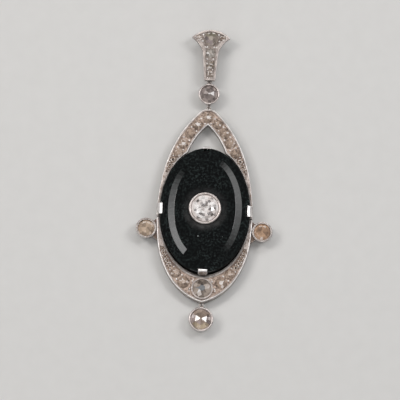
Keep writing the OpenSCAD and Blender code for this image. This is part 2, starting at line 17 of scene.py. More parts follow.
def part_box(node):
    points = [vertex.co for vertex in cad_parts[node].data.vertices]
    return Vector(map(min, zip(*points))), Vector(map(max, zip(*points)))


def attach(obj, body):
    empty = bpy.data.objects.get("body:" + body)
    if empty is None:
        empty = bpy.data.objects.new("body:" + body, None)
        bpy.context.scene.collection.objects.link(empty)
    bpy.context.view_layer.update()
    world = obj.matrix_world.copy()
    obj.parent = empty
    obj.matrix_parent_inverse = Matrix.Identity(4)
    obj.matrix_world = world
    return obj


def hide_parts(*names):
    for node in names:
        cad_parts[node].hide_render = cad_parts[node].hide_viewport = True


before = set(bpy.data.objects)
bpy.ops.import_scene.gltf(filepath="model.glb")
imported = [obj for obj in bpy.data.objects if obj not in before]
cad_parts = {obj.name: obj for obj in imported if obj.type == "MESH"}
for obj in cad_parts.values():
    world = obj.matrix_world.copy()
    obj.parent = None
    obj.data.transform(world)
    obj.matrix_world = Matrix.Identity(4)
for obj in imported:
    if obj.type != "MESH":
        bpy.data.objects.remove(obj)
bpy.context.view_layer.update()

# %% [markdown]
# ## Measures
# Blender works in metres and a goldsmith in millimetres, so lengths are written as `2.4 *
# MM`. Only the profiles of the collets and of the onyx are plain millimetres.

# %% Measures and places
MM = 0.001


def middle(node):
    """The middle of a node's box, seen from above, and half its width."""
    low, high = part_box(node)
    return Vector(((low.x + high.x) / 2, (low.y + high.y) / 2, 0)), (high.x - low.x) / 2


def leaning(azimuth, lean):
    """The direction that leans so many degrees from straight above, toward an azimuth."""
    around, down = math.radians(azimuth), math.radians(lean)
    return Vector((math.sin(down) * math.cos(around), math.sin(down) * math.sin(around),
                   math.cos(down)))


def into_scene(name, data):
    """A new object of that camera, lamp or mesh, linked into the scene."""
    made = bpy.data.objects.new(name, data)
    bpy.context.scene.collection.objects.link(made)
    return made


FIELD_DEPTH = 0.2 * MM
PLATE_TOP = 2.4 * MM
FIELD_Z = PLATE_TOP - FIELD_DEPTH
BAIL_TOP = 3.2 * MM
BAIL_FIELD_Z = BAIL_TOP - FIELD_DEPTH
MIDDLE_RIM_Z = 5.35
collet_centre, _ = middle("centre_collet")
print("middle collet at", [round(c / MM, 2) for c in collet_centre], "mm")

# %% [markdown]
# ## Camera
# The photograph was taken with a long lens from almost straight above, tipped 13 degrees
# toward the pendant's foot, and the pendant lies turned 2.1 degrees to the right in it. A
# camera is placed by its three axes: where its picture's right and top point, and the
# direction back toward it. The middle stone's rim shows at a known pixel, which settles where
# the camera aims.

# %% Camera
PHOTO_SIDE = 400
PIXEL = 0.18 * MM
RIM_PIXEL = Vector((204.95, 207.9))
SENSOR_WIDTH = 36
CAMERA_DISTANCE = 3000 * MM
CAMERA_TILT = math.radians(13)
CAMERA_ROLL = math.radians(2.1)
NEAREST_SEEN = 10 * MM

back = Vector((0, -math.sin(CAMERA_TILT), math.cos(CAMERA_TILT)))
away = Vector((0, math.cos(CAMERA_TILT), math.sin(CAMERA_TILT)))
across = Vector((1, 0, 0))
right = across * math.cos(CAMERA_ROLL) + away * math.sin(CAMERA_ROLL)
up = away * math.cos(CAMERA_ROLL) - across * math.sin(CAMERA_ROLL)

offset = (RIM_PIXEL - Vector((PHOTO_SIDE / 2, PHOTO_SIDE / 2))) * PIXEL
rim_middle = collet_centre + Vector((0, 0, MIDDLE_RIM_Z * MM))
aim = rim_middle - right * offset.x + up * offset.y

camera_data = bpy.data.cameras.new("camera")
camera_data.sensor_width = SENSOR_WIDTH
camera_data.lens = SENSOR_WIDTH * CAMERA_DISTANCE / (PHOTO_SIDE * PIXEL)
camera_data.clip_start = NEAREST_SEEN
camera = into_scene("camera", camera_data)
axes = Matrix((right, up, back)).transposed()
camera.matrix_world = Matrix.Translation(aim + back * CAMERA_DISTANCE) @ axes.to_4x4()
bpy.context.scene.camera = camera
print("lens", round(camera_data.lens), "mm")

# %% [markdown]
# ## Writing shaders as sums
# A material is a graph of nodes. Graphs built call by call are hard to read, so a small class
# wraps a node's output and lets it take part in ordinary Python sums: `1 - mask * 0.5` adds
# the Math nodes by itself. Every other node comes from one method, `node`, which sets the
# node's own settings first and then its sockets.


# %% Sums of wires
class Wire:
    """The output of a node, ready for arithmetic."""

    def __init__(self, shader, socket):
        self.shader = shader
        self.socket = socket

    def math(self, operation, *others):
        return self.shader.node("Math", {"operation": operation}, (self, *others))

    def __add__(self, other):
        return self.math("ADD", other)

    def __sub__(self, other):
        return self.math("SUBTRACT", other)

    def __rsub__(self, other):
        return self.shader.node("Math", {"operation": "SUBTRACT"}, (other, self))

    def __mul__(self, other):
        return self.math("MULTIPLY", other)

    def __truediv__(self, other):
        return self.math("DIVIDE", other)

    __radd__ = __add__
    __rmul__ = __mul__


print("wires can be added and multiplied")


# %% Materials made node by node
class Shader:
    """A new material with one Principled surface."""

    def __init__(self, name, **constants):
        self.material = bpy.data.materials.new(name)
        self.material.use_nodes = True
        self.tree = self.material.node_tree
        self.surface = self.tree.nodes["Principled BSDF"]
        for socket, value in constants.items():
            self.surface.inputs[socket.replace("_", " ")].default_value = value

    def node(self, kind, settings=None, inputs=(), output=0):
        made = self.tree.nodes.new("ShaderNode" + kind)
        for name, value in (settings or {}).items():
            setattr(made, name, value)
        pairs = inputs.items() if isinstance(inputs, dict) else enumerate(inputs)
        for key, value in pairs:
            if isinstance(value, Wire):
                self.tree.links.new(value.socket, made.inputs[key])
            else:
                made.inputs[key].default_value = value
        return Wire(self, made.outputs[output])

    def split(self, vector):
        parts = self.node("SeparateXYZ", {}, (vector,)).socket.node.outputs
        return [Wire(self, part) for part in parts]

    def place(self):
        return self.node("TexCoord", {}, (), "Object")

    def noise(self, scale, detail=2.0, vector=None):
        inputs = {"Vector": vector or self.place(), "Scale": scale, "Detail": detail}
        return self.node("TexNoise", {}, inputs, "Fac")

    def rise(self, value, low, high):
        """0 below low, 1 above high and smooth between."""
        settings = {"interpolation_type": "SMOOTHSTEP"}
        return self.node("MapRange", settings, {0: value, 1: low, 2: high, 3: 0.0, 4: 1.0})

    def mix(self, share, a, b):
        a = a if isinstance(a, Wire) else (*a, 1)
        b = b if isinstance(b, Wire) else (*b, 1)
        return self.node("Mix", {"data_type": "RGBA"}, {0: share, 6: a, 7: b}, 2)

    def feed(self, socket, wire):
        self.tree.links.new(wire.socket, self.surface.inputs[socket])


print("materials can make their nodes")

# %% [markdown]
# ## White metal
# The mount is white metal that has been worn for a century. It scatters light softly: fine
# scratches run in all directions, and the colour is a faintly pinkish grey. Down between the
# stones the polish never reached, and dirt and tarnish have made that field brown on the
# frame and grey on the bail. The lips of the collets, the claws and the edges were rubbed
# bright with a burnisher, the middle collet's lip more than the others, and so were the
# beads, whose tiny round tops catch light from everywhere. The near white of the claws'
# tips, of the frame's filed edges and of the beads is partly that burnish and partly a
# painted highlight, and the claws' upright sides take the bail's grey as painted shade. So
# there are seven finishes of the same metal. A real metal has no colour of its own but what
# it mirrors; here part of the light is scattered instead, as worn metal does, and keeps the
# tone even.

# %% Metal finishes
TARNISH = (0.16, 0.11, 0.085)
CLOUD_SCALE, DIRT_SCALE, SCRATCH_SCALE, WEAR_SCALE = 900.0, 2600.0, 4000.0, 6000.0
SCRATCH_STRETCH = (1.0, 6.0, 6.0)
SCRATCH_DEPTH = 0.012 * MM
SIDES_REACH, SIDES_END = 9.0, 11.4
CLEAN_ABOVE = 0.66


def metal(name, pale, dull, roughness, tarnish_share, metallic, side_share=0.0):
    """Worn metal: cloudy colour, small scratches and a roughness that varies with both.

    Along the sides, within SIDES_REACH mm above and below the middle, the darker colour covers
    more of it, by side_share.
    """
    shader = Shader(name, Metallic=metallic, Specular_IOR_Level=0.5)
    clouds = shader.noise(CLOUD_SCALE, 3.0)
    wear = shader.noise(WEAR_SCALE, 2.0)
    stretched = shader.node("Mapping", {}, {"Vector": shader.place(), "Scale": SCRATCH_STRETCH})
    scratches = shader.noise(SCRATCH_SCALE, 4.0, stretched)
    share = shader.rise(clouds * 0.7 + wear * 0.3, 0.36, 0.60)
    worn = shader.mix(share, dull, pale)
    along = shader.split(shader.place())[1].math("ABSOLUTE") / MM
    at_sides = 1 - shader.rise(along, SIDES_REACH, SIDES_END)
    threshold = (CLEAN_ABOVE - tarnish_share) - at_sides * side_share
    dirt = shader.rise(shader.noise(DIRT_SCALE, 3.0), threshold, threshold + 0.2)
    shader.feed("Base Color", shader.mix(dirt, worn, TARNISH))
    shader.feed("Roughness", roughness + clouds * 0.12 + scratches * 0.10 + dirt * 0.1)
    grooves = {"Strength": 0.2, "Distance": SCRATCH_DEPTH, "Height": scratches * 0.7 + wear * 0.3}
    shader.feed("Normal", shader.node("Bump", {}, grooves))
    return shader.material


polished = metal("polished_white_metal", (0.48, 0.42, 0.385), (0.28, 0.24, 0.22), 0.28, 0.0, 0.8,
                 side_share=0.17)
hollow = metal("tarnished_field", (0.54, 0.42, 0.345), (0.30, 0.22, 0.175), 0.36, 0.2, 0.4,
               side_share=0.23)
# The grey field finish is patina on the bail's field and painted shade on the claws' sides.
grey_patina_and_painted_shade = metal("grey_patina_and_painted_claw_shade", (0.33, 0.28, 0.25), (0.16, 0.13, 0.115), 0.36, 0.18, 0.4)
rubbed = metal("rubbed_lips", (0.70, 0.63, 0.60), (0.42, 0.37, 0.35), 0.28, 0.0, 0.85)
bright_lip = metal("bright_lip", (0.74, 0.67, 0.64), (0.50, 0.44, 0.41), 0.28, 0.0, 0.8)
# This near-white finish is burnish and partly a painted highlight, on the claws' tips and the
# frame's filed edges.
burnish_and_painted_highlight = metal("white_metal_burnish_and_painted_highlight", (1.0, 0.97, 0.95), (0.84, 0.80, 0.77), 0.26, 0.0, 0.65)
# The beads' near-white finish is partly a painted glint.
beads_and_painted_glints = metal("bead_metal_with_painted_glints", (1.0, 0.96, 0.93), (0.85, 0.79, 0.75), 0.22, 0.0, 0.5)
finishes = [polished, hollow, grey_patina_and_painted_shade, rubbed, bright_lip, burnish_and_painted_highlight, beads_and_painted_glints]
print("metal finishes:", [finish.name for finish in finishes])

# %% [markdown]
# ## From a bmesh to a piece
# A smooth piece blends the light over all its edges; where two polished flats meet, the edge
# is marked sharp instead. Pieces of metal get a Weighted Normal modifier, which lets the
# large flat faces keep their flatness and leaves the turning of the light to the narrow ones.

# %% Finishing a piece
WELD = 0.5e-6


def mesh_of(name, bm):
    mesh = bpy.data.meshes.new(name)
    bm.to_mesh(mesh)
    bm.free()
    return mesh


def finish_piece(name, bm, materials, nodes=(), smooth=True, sharp_from=None):
    """Makes an object of bm, hangs it on the root body and hides those CAD nodes."""
    bmesh.ops.recalc_face_normals(bm, faces=bm.faces)
    for face in bm.faces:
        face.smooth = smooth
    if sharp_from:
        for edge in bm.edges:
            edge.smooth = edge.calc_face_angle(0) < math.radians(sharp_from)
    mesh = mesh_of(name, bm)
    for material in materials:
        mesh.materials.append(material)
    piece = into_scene(name, mesh)
    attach(piece, "root")
    if nodes:
        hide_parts(*nodes)
    return piece


def keep_flats(piece):
    piece.modifiers.new("flat flats", "WEIGHTED_NORMAL").keep_sharp = True


print("vertices closer than", WELD, "m are welded")

# %% [markdown]
# ## Breaking the edges of the metal
# The frame and the bail are already right in the CAD model, but every edge there is
# perfectly sharp, and nothing real is. A jeweller's file breaks the outer edges, and it is
# that narrow rounding which catches the light. So a copy of the exact mesh is taken: its
# loose triangles are welded, each outward edge that turns by more than 38 degrees is given a
# bevel weight, and a Bevel modifier rounds those and gives the rounding a brighter finish,
# which on the frame is partly a painted highlight. The small steps from the rims down to the
# field and to the stones were never filed; their edges are marked sharp, so that no light is
# blended across them. The lips of the flank collets and of the one at the toe were filed only
# a little, and the frame's rims more, since that is where a pendant wears. The faces that look
# up out of the sunken field get the tarnished finish, the tips of the claws, which stand
# highest, the near-white one with its painted highlight, and the claws' upright sides and the
# lowest claw's sloping back a greyer one, which is painted shade.


# %% Broken edges
CLAW_TIPS_Z = 3.62 * MM
TOE_LIP_BELOW = 3.02 * MM
SIDE_WIRES_Y = (-1.0 * MM, 9.0 * MM)
FLANK_X = 8.8 * MM
NEAR = 0.03 * MM
SHARP_TURN = math.radians(38)
UPRIGHT_BELOW, LEVEL_ABOVE = 0.3, 0.5
BACK_OF_CLAW = -0.4
LITTLE_FILED = 0.3
FRAME_FILE, BAIL_FILE = 0.06 * MM, 0.07 * MM
RIMS_FILED, NO_MORE_FILED = 2.3, 1.0


def welded_copy(node):
    """A bmesh of a CAD node, whose triangles share their corners."""
    bm = bmesh.new()
    bm.from_mesh(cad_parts[node].data)
    bmesh.ops.remove_doubles(bm, verts=bm.verts, dist=WELD)
    return bm


def is_rim(edge, rims):
    """Whether an edge runs along the top of a rim, above or below the side wires."""
    heights = [abs(vertex.co.z - rims) for vertex in edge.verts]
    beside_wires = SIDE_WIRES_Y[0] < edge.verts[0].co.y < SIDE_WIRES_Y[1]
    return max(heights) < NEAR and not beside_wires


def share_of_file(edge, field, rims, rim_share):
    """How much of the file's width an edge gets, for the heights of the field and the rims."""
    if not edge.is_convex or edge.calc_face_angle(0) < SHARP_TURN:
        return 0.0
    heights = [vertex.co.z for face in edge.link_faces for vertex in face.verts]
    if min(heights) > field - NEAR and max(heights) < rims + NEAR:
        return 0.0
    if max(abs(vertex.co.z - field) for vertex in edge.verts) < NEAR:
        return 0.0
    on_flank = abs(edge.verts[0].co.x) > FLANK_X
    on_toe = rims + NEAR < min(vertex.co.z for vertex in edge.verts) < TOE_LIP_BELOW
    if on_flank or on_toe:
        return LITTLE_FILED
    return rim_share if is_rim(edge, rims) else 1.0


def file_edges(name, node, width, rim_share, field, rims, rounded, sunk):
    """A copy of a CAD node of metal, with finishes for its rounded edges and its field.

    Its edges are rounded over that width, and those along its rims rim_share times as wide.
    """
    bm = welded_copy(node)
    bm.normal_update()
    for face in bm.faces:
        height = face.calc_center_median().z
        face.material_index = finishes.index(polished)
        # Upright claw sides and the lowest claw's sloping back take the grey finish as painted
        # shade.
        on_claw_side = height > rims + NEAR and abs(face.normal.z) < UPRIGHT_BELOW
        on_back_of_claw = height > TOE_LIP_BELOW and face.normal.y < BACK_OF_CLAW
        if on_claw_side or on_back_of_claw:
            face.material_index = finishes.index(grey_patina_and_painted_shade)
        # The claws' tips take the near-white finish, partly a painted highlight.
        elif height > CLAW_TIPS_Z:
            face.material_index = finishes.index(burnish_and_painted_highlight)
        elif face.normal.z > LEVEL_ABOVE and field / 2 < height < field + NEAR:
            face.material_index = finishes.index(sunk)
    weight = bm.edges.layers.float.new("bevel_weight_edge")
    for edge in bm.edges:
        edge[weight] = share_of_file(edge, field, rims, rim_share) / rim_share
        edge.smooth = edge[weight] > 0 or edge.calc_face_angle(0) < SHARP_TURN
    piece = finish_piece(name, bm, finishes, [node])
    bevel = piece.modifiers.new("broken edges", "BEVEL")
    bevel.width = width * rim_share
    bevel.segments = 3
    bevel.limit_method = "WEIGHT"
    # On the frame the rounding's brighter finish is partly a painted highlight.
    bevel.material = finishes.index(rounded)
    bevel.use_clamp_overlap = False
    keep_flats(piece)
    print(name, len(piece.data.polygons), "faces before the bevel")


file_edges("frame_metal", "frame", FRAME_FILE, RIMS_FILED, FIELD_Z, PLATE_TOP, burnish_and_painted_highlight, hollow)
file_edges("bail_metal", "bail", BAIL_FILE, NO_MORE_FILED, BAIL_FIELD_Z, BAIL_TOP, rubbed, grey_patina_and_painted_shade)

# %% [markdown]
# ## Turned collets
# A round collet is a cup turned on one axis, with its lip rubbed down over the stone. That is
# what `spin` does: an open profile that starts and ends on the axis goes once round it, and
# the points on the axis are welded into poles. The lip is not a sharp ring but a rolled one,
# so its profile is a small arch of seven points.


# %% Turning a collet
UPRIGHT = Vector((0, 0, 1))


def turn(bm, centre, profile, steps=72):
    """Spins a profile of radius and height pairs, in millimetres, round a vertical axis."""
    points = [bm.verts.new(centre + Vector((r * MM, 0, z * MM))) for r, z in profile]
    edges = [bm.edges.new(pair) for pair in zip(points, points[1:])]
    bmesh.ops.spin(bm, geom=points + edges, cent=centre, axis=UPRIGHT, angle=2 * math.pi,
                   steps=steps, use_merge=True)
    bmesh.ops.remove_doubles(bm, verts=bm.verts, dist=WELD)


def lip(outer, inner, level):
    """Points of a rolled lip, from its outer wall over the top and down its inner wall."""
    width = outer - inner
    shape = ((0, 0.62), (0, 0.34), (0.12, 0.10), (0.34, 0), (0.62, 0.03), (0.87, 0.20), (1, 0.48))
    return [(outer - inward * width, level - down * width) for inward, down in shape]


def eye(bm, centre, radius, wire, axis, around=36, sides=12):
    """A ring of round wire about that axis."""
    start = centre + Vector((0, radius, 0))
    ring = bmesh.ops.create_circle(bm, radius=wire, segments=sides)["verts"]
    turn_up = UPRIGHT.rotation_difference(Vector((0, 1, 0)).cross(axis))
    bmesh.ops.rotate(bm, verts=ring, cent=(0, 0, 0), matrix=turn_up.to_matrix())
    bmesh.ops.translate(bm, verts=ring, vec=start)
    edges = list({edge for vertex in ring for edge in vertex.link_edges})
    bmesh.ops.spin(bm, geom=ring + edges, cent=centre, axis=axis, angle=2 * math.pi,
                   steps=around, use_merge=True)
    bmesh.ops.remove_doubles(bm, verts=bm.verts, dist=WELD)


print("a rolled lip has", len(lip(1, 0, 0)), "points")

# %% Hanging collets
COLLET_TOP = 2.6
FLOOR_DEPTH = 0.55
STONE_GAP = 0.04
TOP_LIP, DROP_LIP = 0.3, 0.38
EYE_Z = 1.0 * MM
EYE_R = 0.35 * MM
EYE_WIRE = 0.11 * MM
EYE_REACH = 0.46 * MM


def hanging_collet(node, lip_width, eye_places):
    """Cup with a rolled lip, and its eyes at those places along the pendant."""
    outer = middle(node)[1] / MM
    inner = outer - lip_width
    stone_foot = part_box(node.replace("collet", "stone"))[0].y
    centre = Vector((0, stone_foot + (inner - STONE_GAP) * MM, 0))
    bm = bmesh.new()
    wall = [(0, 0), (0.55, 0), (0.7, 0.1), (outer - 0.07, COLLET_TOP - 0.46)]
    cup = [(inner, COLLET_TOP - FLOOR_DEPTH), (0, COLLET_TOP - FLOOR_DEPTH)]
    turn(bm, centre, wall + lip(outer, inner, COLLET_TOP) + cup)
    for y in eye_places:
        eye(bm, Vector((0, y, EYE_Z)), EYE_R, EYE_WIRE, UPRIGHT)
    keep_flats(finish_piece(node + "_metal", bm, [rubbed], [node]))


low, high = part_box("top_collet")
eyes = (low.y + EYE_REACH, high.y - EYE_REACH)
hanging_collet("top_collet", TOP_LIP, eyes)
drop_eye_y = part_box("drop_collet")[1].y - EYE_REACH
hanging_collet("drop_collet", DROP_LIP, (drop_eye_y,))
print("upper collet's eyes at", [round(y / MM, 2) for y in eyes])

# %% Jump rings
RING_WIRE = 0.1 * MM
for node in ("jump_ring_bail", "jump_ring_apex", "jump_ring_drop"):
    low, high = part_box(node)
    bm = bmesh.new()
    radius = (high.y - low.y) / 2 - RING_WIRE
    eye(bm, (low + high) / 2, radius, RING_WIRE, across)
    finish_piece(node + "_wire", bm, [polished], [node])
print("jump rings of", round(RING_WIRE * 2 / MM, 2), "mm wire")

# %% [markdown]
# The middle collet is turned in the same way. Its post runs down through the onyx and is
# riveted over on the back. It is turned in finer steps than the others, because it stands in
# the middle of the picture.

# %% Middle collet
POST_R = 0.5
CUP_FOOT_Z = 3.3
SEAT_R, SEAT_Z = 2.46, 3.65
LIP_R = 2.9
MIDDLE_STEPS = 96
bm = bmesh.new()
rivet = [(0, 0), (1.3, 0), (1.5, 0.12), (1.5, 0.45), (1.2, 0.81)]
post = [(POST_R, 0.81), (POST_R, CUP_FOOT_Z)]
cup = [(1.5, CUP_FOOT_Z), (2.3, 4.68), (2.83, MIDDLE_RIM_Z - 0.38)]
seat = [(SEAT_R, MIDDLE_RIM_Z - 0.42), (POST_R, SEAT_Z), (0, SEAT_Z)]
profile = rivet + post + cup + lip(LIP_R, SEAT_R, MIDDLE_RIM_Z) + seat
turn(bm, collet_centre, profile, MIDDLE_STEPS)
keep_flats(finish_piece("centre_collet_metal", bm, [bright_lip], ["centre_collet"]))
print("middle collet turned from", len(profile), "points")

# %% [markdown]
# ## Onyx
# The onyx is an oval slab, cut like a mirror with two bevels round a flat table and polished
# until it is almost black. A slab like this is a stack of ovals, so it starts from one circle
# of edges, which is pushed on ring by ring: `extrude_edge_only` makes the next ring, and
# `scale` gives it the next oval's width and height. Inside the table the rings become round:
# a shallow dish, the recess for the collet and the hole for its post. The last ring is
# bridged to the first one. The upright edge was ground but never polished, so it mirrors
# nothing of the frame that stands beside it.

# %% Polished black stone
DULL_WITHIN, BRIGHT_BEYOND = 3.2, 4.5
DULL_ROUGHNESS = 0.1
CHIP = (-1.06 * MM, -5.08 * MM, 4.68 * MM)


def onyx_finish():
    """Black with a green cast: cloudy grain, dust, one chip, a duller ring round the collet whose
    grey is a painted halo.
    """
    shader = Shader("polished_onyx", IOR=1.54)
    x, y, _ = shader.split(shader.place())
    reach = (x * x + y * y).math("SQRT") / MM
    # Round the collet the onyx is rougher and greyer; the grey is a painted reflection halo,
    # stronger toward the foot and patchy.
    dull = 1 - shader.rise(reach, DULL_WITHIN, BRIGHT_BEYOND)
    dull = dull * (1 - shader.rise(y / MM, -3.6, 1.5) * 0.55)
    dull = dull * (0.4 + shader.rise(shader.noise(900.0, 3.0), 0.30, 0.65) * 0.6)
    grain = shader.rise(shader.noise(2600.0, 4.0), 0.42, 0.74)
    clouds = shader.rise(shader.noise(260.0, 2.0), 0.35, 0.70)
    grain = grain * (0.35 + clouds * 0.65)
    stone = shader.mix(grain, (0.0004, 0.0007, 0.0006), (0.026, 0.036, 0.034))
    stone = shader.mix(dull, stone, (0.046, 0.045, 0.044))
    cells = {"Vector": shader.place(), "Scale": 1500.0}
    near = shader.node("TexVoronoi", {}, cells, "Distance")
    chance = shader.node("TexVoronoi", {}, cells, "Color")
    rare = shader.rise(shader.split(chance)[0], 0.95, 0.97)
    dust = (1 - shader.rise(near, 0.06, 0.16)) * rare * 0.4
    ends = (shader.place(), CHIP)
    from_chip = shader.node("VectorMath", {"operation": "DISTANCE"}, ends, "Value")
    dust = dust.math("MAXIMUM", 1 - shader.rise(from_chip / MM, 0.06, 0.15))
    shader.feed("Base Color", shader.mix(dust * 0.6, stone, (0.42, 0.46, 0.44)))
    shader.feed("Roughness", 0.03 + dull * DULL_ROUGHNESS + dust * 0.4 + grain * 0.02)
    return shader.material


black = onyx_finish()
matt_black = Shader("ground_onyx_edge", Base_Color=(0.004, 0.004, 0.004, 1), Roughness=0.8,
                    Specular_IOR_Level=0.1).material
print("stone finishes:", black.name, "and", matt_black.name)

# %% Onyx slab
ONYX_STEPS = 144
FOOT_BEVEL = 0.25
GIRDLE_Z = 3.5
OUTER_BEVEL, OUTER_RISE = 1.38, 0.72
INNER_BEVEL = 1.16
DISH = ((4.1, 0), (3.9, 0.01), (3.6, 0.04), (3.3, 0.08), (3.0, 0.11), (2.7, 0.13), (2.37, 0.14))
RECESS_R, RECESS_Z = 1.54, 3.26
HOLE_R = 0.54
CRISP_WIDTH = 0.035 * MM
SMOOTH_BELOW = 5.5
MATT_BELOW = 0.2
low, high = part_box("onyx")
half_x, half_y = (high.x - low.x) / 2 / MM, (high.y - low.y) / 2 / MM
back_z, table_z = low.z / MM, high.z / MM

ovals = [(half_x - inset, half_y - inset, z) for inset, z in (
    (FOOT_BEVEL, back_z),
    (0, back_z + FOOT_BEVEL),
    (0, GIRDLE_Z),
    (OUTER_BEVEL, GIRDLE_Z + OUTER_RISE),
    (OUTER_BEVEL + INNER_BEVEL, table_z),
)]
rounds = [(r, r, table_z - depth) for r, depth in DISH]
rounds += [(r, r, z) for r, z in ((RECESS_R, RECESS_Z), (HOLE_R, RECESS_Z), (HOLE_R, back_z))]

bm = bmesh.new()
bmesh.ops.create_circle(bm, radius=1, segments=ONYX_STEPS)
ring, rings = bm.edges[:], []
size = Vector((1, 1, 0))
for x, y, z in ovals + rounds:
    if rings:
        made = bmesh.ops.extrude_edge_only(bm, edges=ring)["geom"]
        ring = [g for g in made if isinstance(g, bmesh.types.BMEdge)]
    corners = list({v for edge in ring for v in edge.verts})
    target = Vector((x, y, z)) * MM
    bmesh.ops.scale(bm, verts=corners, vec=(target.x / size.x, target.y / size.y, 1))
    bmesh.ops.translate(bm, verts=corners, vec=(0, 0, target.z - size.z))
    size = target
    rings.append(ring)
bmesh.ops.bridge_loops(bm, edges=rings[-1] + rings[0])
crisp = [edge for ring in rings[:len(ovals)] for edge in ring]
bmesh.ops.bevel(bm, geom=crisp, offset=CRISP_WIDTH, segments=2, profile=0.5, affect="EDGES",
                material=-1)
bm.normal_update()
for face in bm.faces:
    face.material_index = int(abs(face.normal.z) < MATT_BELOW)
finish_piece("onyx_slab", bm, [black, matt_black], ["onyx"], sharp_from=SMOOTH_BELOW)
print("onyx", round(half_x * 2, 1), "by", round(half_y * 2, 1), "mm, table at", round(table_z, 2))

# %% [markdown]
# ## Cutting diamonds
# A cutter grinds one flat at a time, and so does this. A stone starts as a plain round
# drum, and each facet is a plane through three points that cuts off what lies outside it:
# `bisect_plane` cuts, and `holes_fill` closes the cut with the new facet. The planes meet by
# themselves in the right edges. Each new facet is numbered, so that its brightness can be
# set later. Stones are cut with a radius of 1.


# %% Grinding facets
TABLE, STAR, KITE, SKIRT, BELOW = 100, 200, 300, 400, 500


def at(radius, part, height):
    """A point at a radius, a part of a full turn and a height."""
    angle = 2 * math.pi * part
    return Vector((radius * math.cos(angle), radius * math.sin(angle), height))


def drum(low, high, sides):
    """A drum to grind, with its flat top numbered as the table."""
    bm = bmesh.new()
    bmesh.ops.create_cone(bm, cap_ends=True, segments=sides, radius1=1, radius2=1,
                          depth=high - low)
    bmesh.ops.translate(bm, verts=bm.verts, vec=(0, 0, (high + low) / 2))
    number_layer = bm.faces.layers.int.new("facet")
    for face in bm.faces:
        if face.normal.z > LEVEL_ABOVE:
            face[number_layer] = TABLE
    return bm


def facet(bm, number, a, b, c):
    """Grinds the plane through three points and numbers the facet that it leaves."""
    outward = (b - a).cross(c - a).normalized()
    if outward.dot(a) < 0:
        outward = -outward
    everything = bm.verts[:] + bm.edges[:] + bm.faces[:]
    cut = bmesh.ops.bisect_plane(bm, geom=everything, dist=1e-6, plane_co=a, plane_no=outward,
                                 clear_outer=True)["geom_cut"]
    edges = [g for g in cut if isinstance(g, bmesh.types.BMEdge) and g.is_boundary]
    number_layer = bm.faces.layers.int["facet"]
    for face in bmesh.ops.holes_fill(bm, edges=edges)["faces"]:
        face[number_layer] = number


print("facets are numbered from", TABLE, STAR, KITE, SKIRT, BELOW)

# %% [markdown]
# Two cuts are needed. An old brilliant has a small table and comes to a point below, the
# culet. A rose cut has a flat back and rises to a point, here with a tiny table.

# %% Two cuts
GIRDLE = 0.025


def brilliant(crown, pavilion, table, kite_r=0.79):
    """An old brilliant: table, stars, kites, girdle facets, and mains and halves below."""
    n, main_r = 8, 0.45
    half = math.cos(math.pi / n)
    kite_z = GIRDLE + crown * (1 - kite_r * half) / (1 - table)
    main_z = -GIRDLE - pavilion * (1 - main_r * half)
    level, culet_z = GIRDLE + crown, -GIRDLE - pavilion
    bm = drum(culet_z, level, 4 * n)
    for k in range(n):
        here, between = k / n, (k + 0.5) / n
        facet(bm, KITE + k, at(1, here, GIRDLE), at(kite_r, between, kite_z),
              at(table, here, level))
        facet(bm, BELOW + k, at(0, 0, culet_z), at(1, here, -GIRDLE),
              at(main_r, between, main_z))
    for k in range(n):
        here, between, following = k / n, (k + 0.5) / n, (k + 1) / n
        shoulder, foot = at(kite_r, between, kite_z), at(main_r, between, main_z)
        facet(bm, STAR + k, at(table, here, level), at(table, following, level), shoulder)
        for side, corner in enumerate((here, following)):
            facet(bm, SKIRT + 2 * k + side, shoulder, at(1, corner, GIRDLE),
                  at(1, between, GIRDLE))
            facet(bm, BELOW + n + 2 * k + side, foot, at(1, corner, -GIRDLE),
                  at(1, between, -GIRDLE))
    return bm


def rose(height, turned, n):
    """A rose cut: a star of n facets round a tiny table, a skirt below it and a flat back."""
    star_r, tip_r, edge = 0.64, 0.1, 0.16
    star_z = edge + 0.66 * (height - edge)
    bm = drum(0, height, 4 * n)
    start = turned / 360
    for k in range(n):
        here, between, following = (start + (k + step) / n for step in (0, 0.5, 1))
        tip, corner, next_corner = (at(tip_r, here, height), at(star_r, here, star_z),
                                    at(star_r, following, star_z))
        facet(bm, STAR + k, tip, corner, next_corner)
        facet(bm, SKIRT + 3 * k, corner, next_corner, at(1, between, edge))
        facet(bm, SKIRT + 3 * k + 1, corner, at(1, here, edge), at(1, between, edge))
        facet(bm, SKIRT + 3 * k + 2, next_corner, at(1, between, edge), at(1, following, edge))
    return bm


SMALL_CROWN = 0.42
SMALL_TOP = GIRDLE + SMALL_CROWN
small_cut = brilliant(SMALL_CROWN, 0.62, table=0.34, kite_r=0.72)
print("a small brilliant has", len(small_cut.faces), "faces")

# %% [markdown]
# ## What a diamond shows
# From above, a cut diamond doesn't look like clear glass. Light goes in, is thrown about
# between the facets below and comes back in patches, so the stone is a mosaic of bright and
# dark pieces that meet in crisp lines. Real refraction would need very many samples at this
# size, so the mosaic is painted. Each facet has a tone of its own, and over it lies a pattern
# of wedges and rings round the stone's middle, as the facets below would show. The tone runs
# from nearly black through the stone's own body colour to white. Four values travel on the
# mesh in an attribute, facet by facet: the tone, the stone's seed, how much the wedges count
# there and how many rings of them the stone has; a second one holds the body colour, and a
# UV map says where on its stone a point lies.


